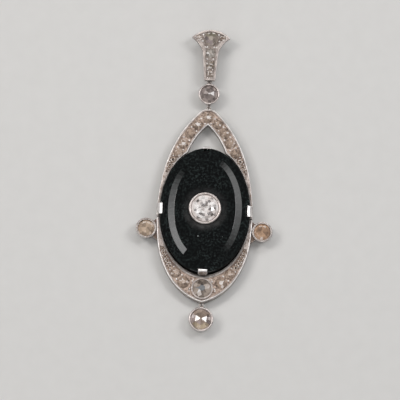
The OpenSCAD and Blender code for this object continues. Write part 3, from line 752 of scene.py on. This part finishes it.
# %% Diamond finish
def diamond():
    """Mosaic of facets between dark, the stone's own colour and white."""
    shader = Shader("cut_diamond", IOR=2.42, Roughness=0.06, Specular_IOR_Level=0.35)
    tone, seed, share = shader.split(shader.node("Attribute", {"attribute_name": "cut"}))
    fine = shader.node("Attribute", {"attribute_name": "cut"}, (), "Alpha")
    body = shader.node("Attribute", {"attribute_name": "body"})
    x, y, _ = shader.split(shader.node("UVMap", {"uv_map": "face_up"}))
    reach = (x * x + y * y).math("SQRT")
    ring = (reach * fine + seed * 0.7).math("FLOOR")
    around = y.math("ARCTAN2", x) / (2 * math.pi)
    wedge = (around * (ring * 4 + 4) + seed * 9).math("FLOOR")
    spot = shader.node("CombineXYZ", {}, (wedge, ring, seed * 57))
    spark = shader.node("TexWhiteNoise", {"noise_dimensions": "3D"}, (spot,), "Value")
    shade = tone + (spark - tone) * share
    deep = shader.mix(0.94, body, (0.012, 0.008, 0.006))
    pale = shader.mix(0.2, body, (1.0, 0.92, 0.84))
    below = shader.mix((shade * 1.4).math("MINIMUM", 1.0), deep, pale)
    white = shader.mix(0.25, (1.0, 0.97, 0.95), body)
    colour = shader.mix(shader.rise(shade, 0.62, 0.86), below, white)
    shader.feed("Base Color", colour)
    return shader.material


cut_diamond = diamond()
print("diamond finish:", cut_diamond.name)

# %% [markdown]
# ## Setting the stones
# Each stone of the frame is found by its CAD node. The smallest ones share a node, so its
# mesh is split into the pieces that hang together, and each piece gives a middle, a radius
# and a top. Together they say where a stone goes, so they are called its spot. A Python set
# gives its members in another order in each run, so spots that lie level are sorted by x.


# %% Finding the spots
def islands(node):
    """Middle, radius and top of each separate solid in a CAD node, from the bail down."""
    bm = welded_copy(node)
    found, waiting = [], set(bm.verts)
    while waiting:
        group, edge_of_group = set(), [waiting.pop()]
        while edge_of_group:
            vertex = edge_of_group.pop()
            group.add(vertex)
            linked = {e.other_vert(vertex) for e in vertex.link_edges} - group
            edge_of_group.extend(linked & waiting)
            waiting -= linked
        xs, ys, zs = ([v.co[axis] for v in group] for axis in range(3))
        centre = Vector(((min(xs) + max(xs)) / 2, (min(ys) + max(ys)) / 2, 0))
        found.append((centre, (max(xs) - min(xs)) / 2, max(zs)))
    bm.free()
    return sorted(found, key=lambda spot: (-spot[0].y, spot[0].x))


numbered = [f"arch_stone_{i}" for i in range(1, 10)]
numbered += [f"crescent_stone_{i}" for i in range(1, 5)]
numbered += [f"bail_stone_{i}" for i in range(1, 7)] + ["toe_stone"]
smallest = ("arch_melee", "crescent_melee")
spots = {node: islands(node)[0] for node in numbered}
spots.update({node: islands(node) for node in smallest})
print("spots found for", ", ".join(spots))

# %% [markdown]
# A master stone is cut once, copied, turned by its own angle and scaled to fit its spot, and
# its facets get their tones: mostly by a dice throw that the stone's name seeds, so that it
# falls the same way in every run, and from a list where one facet stands out. The wedges count
# for less on a facet whose tone is listed.

# %% Setting one stone
SHARE_BY_HAND = 0.3


def set_stone(master, spot, unit_top, turned, seed, tones, looks, body, fine, tints=None):
    """A copy of a master stone in place, with its UV map and the tones of its facets.

    For each kind of facet, looks gives the range and the peak of its tones and the share of
    the wedges in it. Single facets get their tone from tones and their colour from tints.
    """
    centre, radius, level = spot
    bm = master.copy()
    up_face = bm.loops.layers.uv.new("face_up")
    cut = bm.loops.layers.float_color.new("cut")
    own_colour = bm.loops.layers.float_color.new("body")
    numbers = bm.faces.layers.int["facet"]
    dice = random.Random(seed)
    stone_seed = dice.random()
    for face in bm.faces:
        number = face[numbers]
        *spread, share = looks.get(number // 100 * 100, looks[SKIRT])
        tone = tones.get(number, dice.triangular(*spread))
        share *= SHARE_BY_HAND if number in tones else 1
        for loop in face.loops:
            loop[up_face].uv = loop.vert.co.xy
            loop[cut] = (tone, stone_seed, share, fine)
            loop[own_colour] = (*(tints or {}).get(number, body), 1)
    bmesh.ops.rotate(bm, verts=bm.verts, cent=(0, 0, 0),
                     matrix=Matrix.Rotation(math.radians(turned), 3, "Z"))
    bmesh.ops.scale(bm, verts=bm.verts, vec=(radius, radius, radius))
    bmesh.ops.translate(bm, verts=bm.verts, vec=centre + Vector((0, 0, level - unit_top * radius)))
    return bm


def join_into(whole, part):
    """Adds one bmesh to another by way of a passing mesh."""
    passing = mesh_of("passing", part)
    whole.from_mesh(passing)
    bpy.data.meshes.remove(passing)


def finish_stone(node, bm):
    finish_piece(node + "_cut", bm, [cut_diamond], [node], smooth=False)


print("a hand-set facet keeps", SHARE_BY_HAND, "of its wedges")

# %% [markdown]
# The looks give, for each kind of facet, the lowest, the highest and the likeliest tone and
# the share of the wedges. Most stones of the bail glitter more than the others; its large
# stone and the toe's are calm and show their own colour. Facets that can be told apart in
# the photograph have their tones in `GLINTS` and, where they differ from their stone's
# colour, a colour in `TINTS`.


# %% Looks of the stones
def in_turn(first, *values):
    """Values for the facets from that number on."""
    return {first + k: value for k, value in enumerate(values)}


CHAMPAGNE = (0.46, 0.30, 0.20)
BODY = {
    "bail_stone_1": (0.34, 0.26, 0.20),
    "bail_stone_4": (0.44, 0.39, 0.34),
    "bail_stone_5": (0.36, 0.26, 0.18),
    "bail_stone_6": (0.38, 0.26, 0.18),
    "toe_stone": (0.42, 0.32, 0.25),
}
SMALL_LOOKS = {
    TABLE: (0.4, 0.8, 0.6, 0.35),
    STAR: (0.2, 0.9, 0.5, 0.4),
    KITE: (0.1, 0.9, 0.4, 0.4),
    SKIRT: (0.0, 0.75, 0.2, 0.45),
}
BUSY_LOOKS = {TABLE: (0.0, 0.8, 0.3, 1.1), SKIRT: (0.0, 1.0, 0.3, 1.1)}
CALM_LOOKS = {TABLE: (0.4, 0.6, 0.5, 0.6), SKIRT: (0.3, 0.6, 0.4, 0.5)}
LOOKS = {f"bail_stone_{i}": BUSY_LOOKS for i in (2, 3, 5, 6)}
LOOKS.update(bail_stone_1=CALM_LOOKS, toe_stone=CALM_LOOKS)
PLAIN_TONE, FLASH = 0.62, 1.0
# These tones are painted highlights and painted shade on single facets; a FLASH is a painted
# flash.
GLINTS = {
    "arch_stone_1": {TABLE: 0.9, STAR: 0.95, STAR + 7: 0.85},
    "arch_stone_2": {TABLE: FLASH, STAR: FLASH, STAR + 3: FLASH, STAR + 7: FLASH},
    "arch_stone_4": {TABLE: FLASH, STAR: FLASH, STAR + 7: FLASH},
    "arch_stone_3": {TABLE: PLAIN_TONE, STAR + 1: PLAIN_TONE, STAR + 5: PLAIN_TONE},
    "arch_stone_6": {STAR + 2: FLASH},
    "crescent_stone_3": {TABLE: 0.85, STAR: FLASH, KITE + 1: 0.6},
    "crescent_stone_1": {TABLE: 0.7, STAR + 2: FLASH, STAR + 6: 0.8, STAR + 4: 0.1},
    "crescent_stone_2": {TABLE: 0.72, STAR + 1: FLASH, STAR + 2: 0.8, STAR + 5: 0.1},
    "crescent_stone_4": {TABLE: 0.74, STAR + 1: 0.8, STAR + 2: 0.74, STAR + 5: 0.1},
    "bail_stone_1": {TABLE: 0.55, **in_turn(STAR, 0.45, 0.35, 0.3, 0.5, 0.35, 0.6, 0.45, 0.3),
                     **in_turn(KITE + 1, 0.3, 0.25, 0.4, 0.25), KITE + 6: 0.5},
    "bail_stone_2": {TABLE: FLASH, STAR + 1: 0.1, STAR + 3: FLASH, STAR + 5: 0.1, KITE: 0.1,
                     KITE + 2: 0.9},
    "bail_stone_3": {TABLE: 0.05, **in_turn(STAR, 0.1, FLASH, FLASH, 0.1), STAR + 5: 0.1,
                     KITE + 4: 0.1, KITE + 6: FLASH},
    "bail_stone_4": {STAR + 3: FLASH, STAR + 4: FLASH, KITE + 3: FLASH},
    "bail_stone_6": {TABLE: 0.1, **in_turn(STAR, 0.1, FLASH, 0.1, FLASH), STAR + 6: 0.1,
                     KITE + 1: FLASH, KITE + 3: FLASH},
    "toe_stone": {TABLE: 0.35, **in_turn(STAR, 0.7, 0.02, 0.55, 0.45, 0.95, 0.2, 0.2, 0.75),
                  **in_turn(KITE, 0.75, 0.2, 0.1), **in_turn(KITE + 4, 0.6, 0.85),
                  KITE + 7: 0.6},
}
MEASURED_TURN = {"arch_stone_1": 0, "arch_stone_2": 0, "arch_stone_4": 10, "toe_stone": 22,
                 "bail_stone_1": 0, "bail_stone_2": 0, "bail_stone_3": 0, "bail_stone_6": 0}
BLUE_GREY = (0.24, 0.27, 0.30)
SILVER_GREY = (0.50, 0.52, 0.54)
OLIVE = (0.28, 0.235, 0.14)
MAUVE = (0.31, 0.23, 0.23)
BEIGE = (0.46, 0.39, 0.31)
TINTS = {
    "toe_stone": {TABLE: BLUE_GREY, STAR + 3: BLUE_GREY, STAR + 4: SILVER_GREY},
    "bail_stone_1": {TABLE: BEIGE, **in_turn(STAR + 1, OLIVE, OLIVE),
                     **in_turn(STAR + 4, MAUVE, MAUVE, MAUVE),
                     **in_turn(KITE + 1, OLIVE, OLIVE, OLIVE, MAUVE, MAUVE, MAUVE)},
}
print(len(GLINTS), "stones have facets with a tone of their own")

# %% Setting the small stones
SMALL_RINGS, MELEE_RINGS = 2.6, 2.0
for node in numbered:
    turned = MEASURED_TURN.get(node, random.Random(node + " turn").uniform(0, 45))
    bm = set_stone(small_cut, spots[node], SMALL_TOP, turned, node, GLINTS.get(node, {}),
                   LOOKS.get(node, SMALL_LOOKS), BODY.get(node, CHAMPAGNE), SMALL_RINGS,
                   TINTS.get(node))
    finish_stone(node, bm)

MELEE_CROWN = 0.30
MELEE_TOP = GIRDLE + MELEE_CROWN
MELEE_LOOKS = {TABLE: (0.0, 0.2, 0.0, 0.1), SKIRT: (0.1, 1.0, 0.7, 0.2)}
melee_cut = brilliant(MELEE_CROWN, 0.70, table=0.55)
for node in smallest:
    whole = bmesh.new()
    for k, spot in enumerate(spots[node]):
        join_into(whole, set_stone(melee_cut, spot, MELEE_TOP, 0, f"{node} {k}", {}, MELEE_LOOKS,
                                   CHAMPAGNE, MELEE_RINGS))
    finish_stone(node, whole)
print(len(numbered), "small stones and", [len(spots[node]) for node in smallest], "smaller ones")

# %% [markdown]
# The round collets hold rose cuts, and here the photograph shows single facets: the drop has
# two bright ones facing each other like a bow, brown ones above and paler ones below. The
# facets of the star are given their tones in turn, from the right round to the left. Each
# row holds the turn of the stone, its colour, the tone of its table, the look of its skirt
# and those tones.

# %% Rose cuts
ROSE_RINGS = 3.6
CLOUDY = (0.15, 0.7, 0.35, 0.5)
# The star tones are painted highlights and painted shade; the drop's bright bow is a painted
# highlight.
ROSES = {
    "drop_stone": (-33, (0.34, 0.22, 0.145), 0.35, (0.1, 0.7, 0.3, 0.6),
                   (0.5, 0.36, 0.26, 0.52, 0.45, 0.45)),
    "top_stone": (-21, (0.31, 0.235, 0.22), 1.0, (0.1, 0.55, 0.25, 0.45),
                  (1.0, 0.34, 0.2, 0.7, 0.22, 0.3, 0.36)),
    "side_stone_left": (0, (0.60, 0.41, 0.26), 0.6, CLOUDY,
                        (0.45, 0.5, 0.35, 0.25, 0.62, 0.66, 0.5, 0.3)),
    "side_stone_right": (0, (0.56, 0.29, 0.13), 0.5, CLOUDY,
                         (0.42, 0.5, 0.25, 0.2, 0.35, 0.5, 0.6, 0.3)),
}
GOLDEN, PINKISH, PLUM = (0.62, 0.46, 0.28), (0.54, 0.40, 0.37), (0.26, 0.16, 0.14)
ROSE_TINTS = {"drop_stone": {STAR + 4: PINKISH, **in_turn(SKIRT, *[PLUM] * 3),
                             **in_turn(SKIRT + 9, *[PINKISH] * 3, *[GOLDEN] * 6)}}
for node, (turned, body, table_tone, skirt, star) in ROSES.items():
    spot = islands(node)[0]
    low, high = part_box(node)
    unit_height = (high.z - low.z) / spot[1]
    master = rose(unit_height, turned, len(star))
    tones = {TABLE: table_tone, **in_turn(STAR, *star)}
    bm = set_stone(master, spot, unit_height, 0, node, tones, {SKIRT: skirt}, body, ROSE_RINGS,
                   ROSE_TINTS.get(node))
    finish_stone(node, bm)
    master.free()
print("rose cuts:", ", ".join(ROSES))

# %% [markdown]
# The middle stone is the whitest. Its wedges are fine and count for much, but the facets at
# its girdle show few of them and stay light: a painted pale ring inside the collet, over the
# shade of its wall.

# %% Middle stone
MIDDLE_R = 2.42
MIDDLE_CROWN = 0.62 / MIDDLE_R
MIDDLE_TURN, MIDDLE_RINGS = 11, 5.6
WARM_WHITE = (0.80, 0.70, 0.66)
MIDDLE_LOOKS = {
    TABLE: (0.1, 0.3, 0.2, 1.9),
    STAR: (0.1, 0.4, 0.2, 1.9),
    KITE: (0.2, 0.5, 0.3, 1.7),
    SKIRT: (0.65, 0.95, 0.75, 0.35),
}
middle_cut = brilliant(MIDDLE_CROWN, 1.3 / MIDDLE_R, table=0.52)
spot = islands("centre_stone")[0]
bm = set_stone(middle_cut, spot, GIRDLE + MIDDLE_CROWN, MIDDLE_TURN, "centre_stone 4", {},
               MIDDLE_LOOKS, WARM_WHITE, MIDDLE_RINGS)
finish_stone("centre_stone", bm)
print("middle stone of radius", round(spot[1] / MM, 2))

# %% [markdown]
# ## Beads between the stones
# The stones are held by beads: the setter raises small curls of metal from the field with a
# graver, one on each side of every gap, and rounds them with a hollow punch. They are what
# glitters between the stones, and their near-white finish is partly a painted glint. Each bead
# is a small ball half sunk in the field, where the circles of two neighbouring stones leave
# room beside the line between their middles. Larger stones leave room for a second, smaller
# pair further out.


# %% Raising beads
LARGE_STONE = 1.05 * MM
BEAD_SHARE, BEAD_EXTRA = 0.19, 0.02 * MM
SMALLEST_BEAD, LARGEST_BEAD = 0.125 * MM, 0.19 * MM
CLOSE_BY = 0.95
SECOND_OUT, SECOND_SIZE = 1.9, 0.8
BEAD_RISE = 0.25


def beads_between(first, second):
    """Middle and radius of the beads beside a gap: two, or four between large stones."""
    (a, r1, _), (b, r2, _) = first, second
    r = (r1 + r2) / 2
    size = min(max(BEAD_SHARE * r + BEAD_EXTRA, SMALLEST_BEAD), LARGEST_BEAD)
    along = (b - a).normalized()
    side = Vector((-along.y, along.x, 0))
    gap_middle = a + along * (r1 + ((b - a).length - r1 - r2) / 2)
    reach = math.sqrt((r + CLOSE_BY * size) ** 2 - r * r)
    beads = [(gap_middle + side * reach * s, size) for s in (-1, 1)]
    if r > LARGE_STONE:
        outer = reach + SECOND_OUT * size
        beads += [(gap_middle + side * outer * s, SECOND_SIZE * size) for s in (-1, 1)]
    return beads


def row_of_beads(chain):
    return [bead for pair in zip(chain, chain[1:]) for bead in beads_between(*pair)]


def raise_beads(name, beads, level):
    bm = bmesh.new()
    for centre, size in beads:
        matrix = Matrix.Translation(centre + Vector((0, 0, level + BEAD_RISE * size)))
        bmesh.ops.create_icosphere(bm, subdivisions=2, radius=size, matrix=matrix)
    finish_piece(name, bm, [beads_and_painted_glints])
    print(name, len(beads), "beads")


def one_side(nodes, melee, sign, order):
    """Spots on one side of the middle line, in the order given."""
    chain = [spots[n] for n in nodes] + spots[melee]
    return sorted((s for s in chain if s[0].x * sign > 0), key=lambda s: order * s[0].y)


print("beads of", SMALLEST_BEAD / MM, "to", LARGEST_BEAD / MM, "mm radius")

# %% [markdown]
# On each side the arch's row runs down from its point and the crescent's up from the toe,
# both to the last of the smallest stones.

# %% Beads on the frame
arch_beads, crescent_beads = [], []
for sign in (-1, 1):
    arch = one_side([f"arch_stone_{i}" for i in range(2, 10)], "arch_melee", sign, -1)
    arch_beads += row_of_beads([spots["arch_stone_1"]] + arch)
    crescent = one_side([f"crescent_stone_{i}" for i in range(1, 5)], "crescent_melee", sign, 1)
    crescent_beads += row_of_beads([spots["toe_stone"]] + crescent)
raise_beads("arch_beads", arch_beads, FIELD_Z)
raise_beads("crescent_beads", crescent_beads, FIELD_Z)

# %% [markdown]
# On the bail three more beads stand round the outer side of each wing's stone, nearly as
# high as its rim, and three close the foot of the stem.

# %% Beads on the bail
WING_BEAD, WING_DEPTH, WING_SPREAD = 0.11 * MM, 0.06 * MM, 65
FOOT_BEAD, FOOT_GAP, FOOT_SPREAD = 0.12 * MM, 0.16 * MM, 0.42 * MM
stem = [spots[f"bail_stone_{i}"] for i in (1, 4, 5, 6)]
bail_beads = row_of_beads(stem)
wing_beads = []
for wing in (2, 3):
    bail_beads += row_of_beads([spots["bail_stone_1"], spots[f"bail_stone_{wing}"]])
    centre, radius, _ = spots[f"bail_stone_{wing}"]
    outward = 0 if centre.x > 0 else 180
    for turned in (-WING_SPREAD, 0, WING_SPREAD):
        away_from_stone = leaning(outward + turned, 90) * (radius + 0.8 * WING_BEAD)
        wing_beads.append((centre + away_from_stone, WING_BEAD))
last_stone, last_r, _ = stem[-1]
foot = last_stone - Vector((0, last_r + FOOT_GAP, 0))
bail_beads += [(foot + across * s * FOOT_SPREAD, FOOT_BEAD) for s in (-1, 0, 1)]
raise_beads("bail_beads", bail_beads, BAIL_FIELD_Z)
raise_beads("wing_beads", wing_beads, BAIL_TOP - WING_DEPTH)

# %% [markdown]
# ## The studio
# A jewel shows the room more than itself, so each lamp is placed by what should mirror it.
# The law of the mirror gives its direction: a polished face with the normal n shows a camera
# in the direction v whatever stands in the direction 2 (n . v) n - v. The table of the onyx
# must stay black, so nothing bright hangs where the table mirrors. Its inner bevel leans 22
# degrees, and in the photograph it shows a grey band on either side. So a row of narrow
# softboxes follows the path that this bevel mirrors, fading as the bands do: the left one
# starts sharply at its lower end, the right one slowly. Three larger ones, where no flat of
# the onyx finds them, light the metal and the diamonds, and two of those are placed so that
# the rose cuts flash to the left and the right. A small one beside the camera is for the
# claws, and two long low ones, at the foot and the head, are for the rounded rims.


# %% Softboxes
LAMP_DISTANCE = 0.5


def mirrored(azimuth, lean):
    """What the camera sees in a polished face whose normal leans so."""
    face = leaning(azimuth, lean)
    return 2 * face.dot(back) * face - back


def softbox(name, direction, along, size, radiance, tint=(1.0, 1.0, 1.0)):
    """A rectangular lamp in that direction, its long side turned along a second one."""
    data = bpy.data.lights.new(name, "AREA")
    data.shape = "RECTANGLE"
    data.size, data.size_y = size
    data.energy = radiance * 4 * size[0] * size[1]
    data.color = tint
    lamp = into_scene(name, data)
    side = (along - along.project(direction)).normalized()
    turned = Matrix((side, direction.cross(side), direction)).transposed().to_4x4()
    lamp.matrix_world = Matrix.Translation(direction * LAMP_DISTANCE) @ turned
    lamp.visible_camera = False


print("lamps stand", LAMP_DISTANCE, "m from the pendant")

# %% Bands on the inner bevel
BEVEL_LEAN = 21.6
BAND_STEP = 5
BAND_WIDTH = 0.065
OVERLAP = 1.04
BANDS = {"left": (3.3, 226, 225, 200, 145), "right": (2.1, -40, 10, 30, 56)}
for band, (peak, start, full_from, full_to, end) in BANDS.items():
    step = BAND_STEP if end > start else -BAND_STEP
    for k in range(int((end - start) / step)):
        face = start + (k + 0.5) * step
        rising, falling = (face - start) / (full_from - start), (end - face) / (end - full_to)
        first, last = (mirrored(face + half * step, BEVEL_LEAN) for half in (-0.5, 0.5))
        length = (last - first).length * LAMP_DISTANCE * OVERLAP
        softbox(f"{band}_band_{k}", mirrored(face, BEVEL_LEAN), last - first,
                (length, BAND_WIDTH), peak * min(rising, falling, 1))

# %% Lamps for metal and diamonds
LAMPS = {
    "left_key": (153, 32, (0.18, 0.12), 6.5, (1.0, 0.97, 0.95)),
    "right_key": (22, 32, (0.18, 0.12), 6.0, (0.98, 0.98, 1.0)),
    "top_light": (90, 33, (0.24, 0.08), 5.0),
    "front_light": (270, 9, (0.14, 0.08), 7.0),
    "low_light": (270, 74, (0.5, 0.1), 2.6),
    "far_low_light": (90, 86, (0.5, 0.06), 3.0),
}
for name, (azimuth, lean, *light) in LAMPS.items():
    softbox(name, leaning(azimuth, lean), across, *light)
print("other lamps:", ", ".join(LAMPS))

# %% [markdown]
# The rest of the room is a dim even grey, and the pendant lies on pale paper. The colours are
# shown as they are, without the soft shoulder that Blender puts on bright tones by default:
# metal and diamonds live on the jump from dark to white.

# %% Surroundings
ROOM_GREY = (0.80, 0.82, 0.86, 1)
ROOM_STRENGTH = 0.16
bpy.context.scene.view_settings.view_transform = "Standard"
world = bpy.data.worlds.new("studio")
world.use_nodes = True
background = world.node_tree.nodes["Background"].inputs
background["Color"].default_value = ROOM_GREY
background["Strength"].default_value = ROOM_STRENGTH
bpy.context.scene.world = world
print("strength of the room's grey:", ROOM_STRENGTH)

# %% Paper
HALF_SHEET, SHEET_BELOW = 0.6, 0.02 * MM
floor_shader = Shader("pale_paper", Roughness=0.85)
paper = floor_shader.mix(floor_shader.noise(400.0), (0.66, 0.65, 0.63), (0.70, 0.69, 0.67))
floor_shader.feed("Base Color", paper)
bm = bmesh.new()
bmesh.ops.create_grid(bm, x_segments=1, y_segments=1, size=HALF_SHEET)
bmesh.ops.translate(bm, verts=bm.verts, vec=(0, 0, -SHEET_BELOW))
floor = into_scene("floor", mesh_of("floor", bm))
floor.data.materials.append(floor_shader.material)
print("the paper is", 2 * HALF_SHEET, "m wide")
